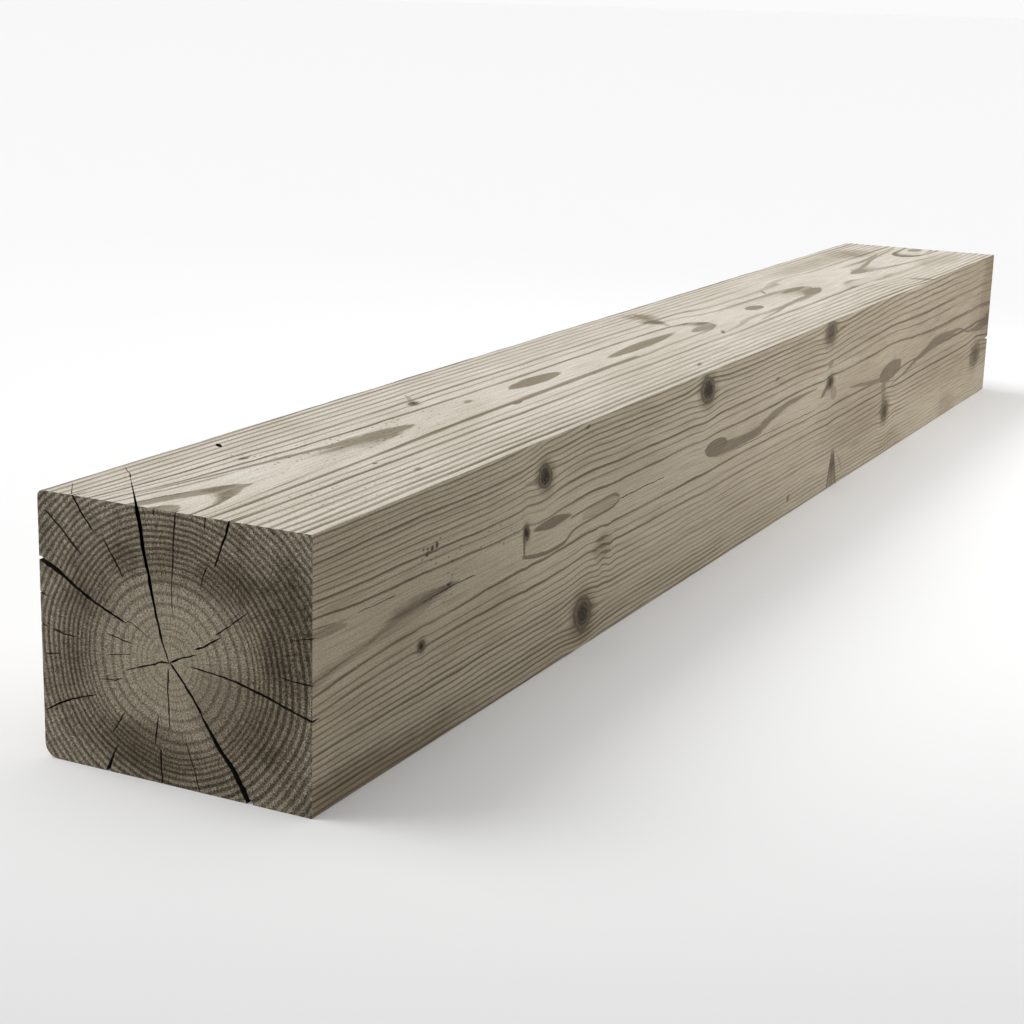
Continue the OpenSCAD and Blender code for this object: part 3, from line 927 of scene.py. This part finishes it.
def check_blade(points, widths, depth, inward, drift, chance):
    """Closed jagged wedge along the points, as wide as the check and closing at its depth."""
    path = [Vector(p) for p in points]
    reach = [0.0]
    for a, b in zip(path, path[1:]):
        reach.append(reach[-1] + (b - a).length)
    count = max(LEAST_STEPS, round(reach[-1] / BLADE_STEP))
    blade = bmesh.new()
    rows = []
    sway = 0.0
    for step in range(count + 1):
        gone = reach[-1] * step / count
        leg = max(i for i in range(len(path) - 1) if reach[i] <= gone + ROUNDING)
        share = (gone - reach[leg]) / (reach[leg + 1] - reach[leg])
        along = (path[leg + 1] - path[leg]).normalized()
        sideways = along.cross(inward)
        wide = np.interp(step / count, np.linspace(0, 1, len(widths)), widths)
        sway = SWAY_KEPT * sway + chance.uniform(-SWAY, SWAY) * min(1.0, HAIRLINE_SWAY + wide)
        middle = path[leg].lerp(path[leg + 1], share) + sideways * sway
        deep = depth * wide / max(widths) * chance.uniform(*DEPTH_SPREAD)
        wide *= chance.uniform(*WIDTH_SPREAD)
        if step in (0, count):
            wide *= TIP_SHARE
        lip = middle - inward * BLADE_CLEAR
        root = middle + inward * deep + drift * (deep / depth)
        corners = (lip + sideways * wide / 2, lip - sideways * wide / 2, root)
        rows.append([blade.verts.new(corner * MM) for corner in corners])
    for a, b in zip(rows, rows[1:]):
        for i, j in ((0, 1), (1, 2), (2, 0)):
            blade.faces.new((a[i], a[j], b[j], b[i]))
    blade.faces.new(rows[0])
    blade.faces.new(rows[-1])
    bmesh.ops.recalc_face_normals(blade, faces=blade.faces)
    made = bpy.data.meshes.new("check blade")
    blade.to_mesh(made)
    blade.free()
    made.materials.append(finishes["check"])
    return bpy.data.objects.new("check blade", made)


finishes["check"] = check_walls()
chance = random.Random(CHANCE_SEED)
blades = bpy.data.collections.new("check blades")
bpy.context.scene.collection.children.link(blades)
for end_x, inward, checks in ((near_x, 1, NEAR_CHECKS), (-near_x, -1, FAR_CHECKS)):
    for number, (points, widths, depth) in enumerate(checks):
        drift = Vector((0, TOP_CHECK_DRIFT if checks is NEAR_CHECKS and number == 0 else 0, 0))
        places = [(end_x, back_y - across, height - down) for across, down in points]
        blade = check_blade(places, widths, depth, Vector((inward, 0, 0)), drift, chance)
        blades.objects.link(blade)
for side, points, widths, depth in SIDE_CHECKS:
    facing = Vector(SIDES[side]["facing"])
    if side in UPRIGHT_SIDES:
        places = [(near_x + at, facing.y * width / 2, across) for at, across in points]
    else:
        places = [(near_x + at, across, (1 + facing.z) * height / 2) for at, across in points]
    blades.objects.link(check_blade(places, widths, depth, -facing, Vector((0, 0, 0)), chance))

splitting = timber.modifiers.new("drying checks", "BOOLEAN")
splitting.operation = "DIFFERENCE"
splitting.operand_type = "COLLECTION"
splitting.collection = blades
splitting.solver = "MANIFOLD"
splitting.material_mode = "TRANSFER"
settle(timber, splitting)
for blade in list(blades.objects):
    bpy.data.meshes.remove(blade.data)
bpy.data.collections.remove(blades)
timber.data.set_sharp_from_angle(angle=SHARP_ANGLE)

# Baking sheet
# Each face of the timber has its own strip of one sheet, with the length across the whole sheet,
# so that its fine lines stay sharp when the grain is kept as a picture.
# Strips are (left, bottom, right, top), and the axes laid across and up the sheet.

SHEET = {
    "top grain": ((0.0, 0.75, 1.0, 0.995), (0, 1)),
    "front grain": ((0.0, 0.51, 1.0, 0.745), (0, 2)),
    "back grain": ((0.0, 0.35, 1.0, 0.505), (0, 2)),
    "underside grain": ((0.0, 0.22, 1.0, 0.345), (0, 1)),
}
NEAR_END_STRIP, FAR_END_STRIP = (0.0, 0.015, 0.6, 0.215), (0.605, 0.015, 1.0, 0.215)
CHECK_STRIP = (0.0, 0.0, 1.0, 0.01)
AXES_BY_FACING = ((1, 2), (0, 2), (0, 1))


def read_out(rows, name, wide, kind):
    """One property of all the vertices, corners or faces of a mesh."""
    values = np.empty(len(rows) * wide, dtype=kind)
    rows.foreach_get(name, values)
    return values.reshape(-1, wide) if wide > 1 else values


mesh = timber.data
shares = (read_out(mesh.vertices, "co", 3, np.float32) - np.array(low)) / np.array(high - low)
corners = np.clip(shares, 0.0, 1.0)[read_out(mesh.loops, "vertex_index", 1, np.int32)]
corners_of_face = read_out(mesh.polygons, "loop_total", 1, np.int32)
face_of_corner = np.repeat(np.arange(len(mesh.polygons)), corners_of_face)
facing = read_out(mesh.polygons, "normal", 3, np.float32)
finish_number = read_out(mesh.polygons, "material_index", 1, np.int32)
finish_names = np.array([material.name if material else "" for material in mesh.materials])
face_finish = finish_names[finish_number]
laid = [(face_finish == name, strip, axes) for name, (strip, axes) in SHEET.items()]
on_end = face_finish == "sawn end grain"
laid.append((on_end & (facing[:, 0] < 0), NEAR_END_STRIP, (1, 2)))
laid.append((on_end & (facing[:, 0] >= 0), FAR_END_STRIP, (1, 2)))
for main_axis, axes in enumerate(AXES_BY_FACING):
    turned = np.abs(facing).argmax(axis=1) == main_axis
    laid.append(((face_finish == "check walls") & turned, CHECK_STRIP, axes))
on_sheet = np.zeros((len(corners), 2))
for faces, (left, bottom, right_edge, top_edge), (across_axis, up_axis) in laid:
    chosen = faces[face_of_corner]
    on_sheet[chosen, 0] = left + (right_edge - left) * corners[chosen, across_axis]
    on_sheet[chosen, 1] = bottom + (top_edge - bottom) * corners[chosen, up_axis]
mesh.uv_layers.new(name="OFBake").data.foreach_set("uv", on_sheet.ravel())

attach(timber, "root")
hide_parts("timber")

# Floor and light
# A seamless pale studio floor, with painted shade that greys it towards the camera, under a soft
# white sky, with a broad key lamp behind to the left and a weak soft one that fills the front side
# from the right.

FLOOR_REACH = 300.0
floor_mesh = bpy.data.meshes.new("floor")
floor_signs = ((-1, -1), (1, -1), (1, 1), (-1, 1))
floor_corners = [(x * FLOOR_REACH, y * FLOOR_REACH, 0) for x, y in floor_signs]
floor_mesh.from_pydata(floor_corners, [], [(0, 1, 2, 3)])
floor = bpy.data.objects.new("floor", floor_mesh)
bpy.context.scene.collection.objects.link(floor)
# Painted shade: the paper greys towards the camera, over these distances from the middle of the timber.
FAR_PAPER, SHADED_NEAR_PAPER = 0.92, 0.69
GREYING_FROM, GREYING_TO = 0.3, 1.0
TOWARDS_CAMERA = (-0.896, -0.445, 0)
paper, paper_tree, paper_shader = new_finish("paper with painted shade")
paper_place = paper_tree.nodes.new("ShaderNodeTexCoord").outputs["Object"]
nearness = vector(paper_tree, "DOT_PRODUCT", paper_place, TOWARDS_CAMERA)
# Painted shade on the paper, darker towards the camera.
paper_and_shade = ramp(paper_tree, nearness, GREYING_FROM, GREYING_TO, FAR_PAPER, SHADED_NEAR_PAPER)
paper_tree.links.new(joined(paper_tree, paper_and_shade, paper_and_shade, paper_and_shade), paper_shader.inputs["Base Color"])
paper_shader.inputs["Roughness"].default_value = 0.9
paper_shader.inputs["Specular IOR Level"].default_value = 0.1
floor_mesh.materials.append(paper)

# Strength of the sky, and between which heights it changes
SKY_TOP, SKY_MIDDLE, SKY_EDGE = 1.25, 0.03, 0.965
TOP_HEIGHTS, EDGE_HEIGHTS = (0.4, 0.95), (0.02, 0.06)
world = bpy.data.worlds.new("studio")
bpy.context.scene.world = world
world.use_nodes = True
sky = world.node_tree
upward = split(sky, sky.nodes.new("ShaderNodeTexCoord").outputs["Generated"])[2]
overhead = ramp(sky, upward, *TOP_HEIGHTS, SKY_MIDDLE, SKY_TOP)
horizon = ramp(sky, upward, *EDGE_HEIGHTS, SKY_EDGE - SKY_MIDDLE, 0.0)
sky.links.new(calc(sky, "ADD", overhead, horizon), sky.nodes["Background"].inputs["Strength"])
sky.nodes["Background"].inputs["Color"].default_value = (1, 1, 1, 1)


def aimed(name, kind, place, target):
    lamp = bpy.data.lights.new(name, kind)
    holder = bpy.data.objects.new(name, lamp)
    holder.location = place
    holder.rotation_euler = (Vector(target) - Vector(place)).to_track_quat("-Z", "Y").to_euler()
    bpy.context.scene.collection.objects.link(holder)
    return lamp


KEY_PLACE = (-0.2, 0.9, 1.0)
SIDE_LAMP_PLACE, SIDE_LAMP_TARGET = (0.66, -1.25, 0.66), (0.42, -0.1, 0.0)
key = aimed("key lamp", "SUN", KEY_PLACE, (0, 0, 0))
key.energy = 1.6
key.angle = math.radians(40)
side_lamp = aimed("side lamp", "SPOT", SIDE_LAMP_PLACE, SIDE_LAMP_TARGET)
side_lamp.spot_size = math.radians(68)
side_lamp.spot_blend = 1.0
side_lamp.shadow_soft_size = 0.3
side_lamp.energy = 28.0
bpy.context.scene.view_settings.view_transform = "Standard"

# Camera
# It stands off the near end's front corner and looks down along the timber.

CAMERA_PLACE = (-1.3899, -0.5492, 0.3784)
HEADING, LOOKS_DOWN, ROLL = math.radians(26.434), math.radians(14.472), math.radians(1.593)
FOCAL_PIXELS, PICTURE_PIXELS = 1976.6, 1024

camera_data = bpy.data.cameras.new("camera")
camera_data.sensor_width = 36.0
camera_data.lens = camera_data.sensor_width * FOCAL_PIXELS / PICTURE_PIXELS
camera = bpy.data.objects.new("camera", camera_data)
flat_share = math.cos(LOOKS_DOWN)
ahead = Vector((math.cos(HEADING) * flat_share, math.sin(HEADING) * flat_share, -math.sin(LOOKS_DOWN)))
level = Vector((math.sin(HEADING), -math.cos(HEADING), 0))
upright = level.cross(ahead)
right = level * math.cos(ROLL) + upright * math.sin(ROLL)
up = upright * math.cos(ROLL) - level * math.sin(ROLL)
turned = Matrix((right, up, -ahead)).transposed().to_4x4()
camera.matrix_world = Matrix.Translation(CAMERA_PLACE) @ turned
bpy.context.scene.collection.objects.link(camera)
bpy.context.scene.camera = camera
